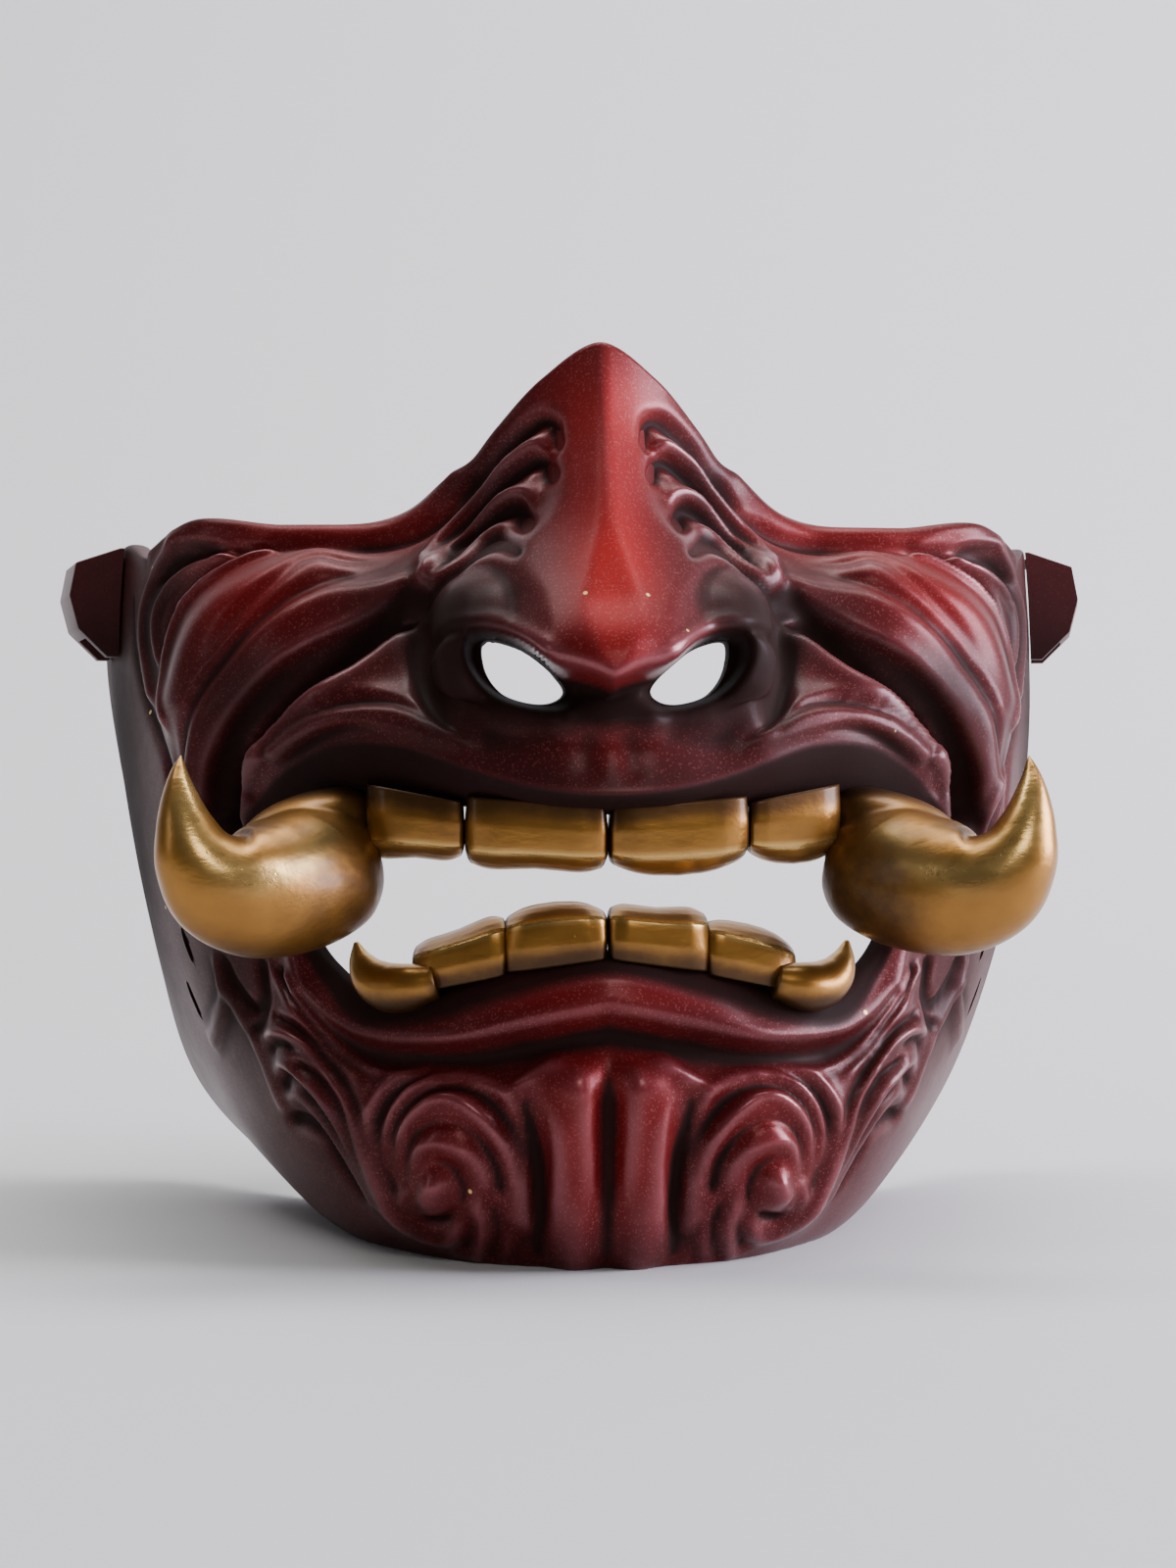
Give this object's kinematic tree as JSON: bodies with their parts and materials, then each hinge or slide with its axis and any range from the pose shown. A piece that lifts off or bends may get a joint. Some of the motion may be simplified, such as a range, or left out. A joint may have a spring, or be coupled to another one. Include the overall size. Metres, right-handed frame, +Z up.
{
  "type": "samurai face guard",
  "caption": "A samurai half mask with an oni face: a crimson shell with a ridged nose, an open mouth, gold teeth and tusks, a swirled chin and strap lugs.",
  "frame": {"origin": "centre of the bounding box's bottom face, on the surface that the chin stands on", "axes": "+Z up, the face looks along -Y, +X is the wearer's left"},
  "size_m": [0.1972, 0.1245, 0.147],
  "materials": {
    "crimson_lacquer": "satin",
    "gold_paint": "satin"
  },
  "bodies": {
    "root": {"face_shell": "crimson_lacquer", "strap_lug_left": "crimson_lacquer", "strap_lug_right": "crimson_lacquer", "upper_tooth_1": "gold_paint", "upper_tooth_2": "gold_paint", "upper_tooth_3": "gold_paint", "upper_tooth_4": "gold_paint", "lower_tooth_1": "gold_paint", "lower_tooth_2": "gold_paint", "lower_tooth_3": "gold_paint", "lower_tooth_4": "gold_paint", "tusk_left": "gold_paint", "tusk_right": "gold_paint", "lower_fang_left": "gold_paint", "lower_fang_right": "gold_paint"}
  },
  "joints": []
}
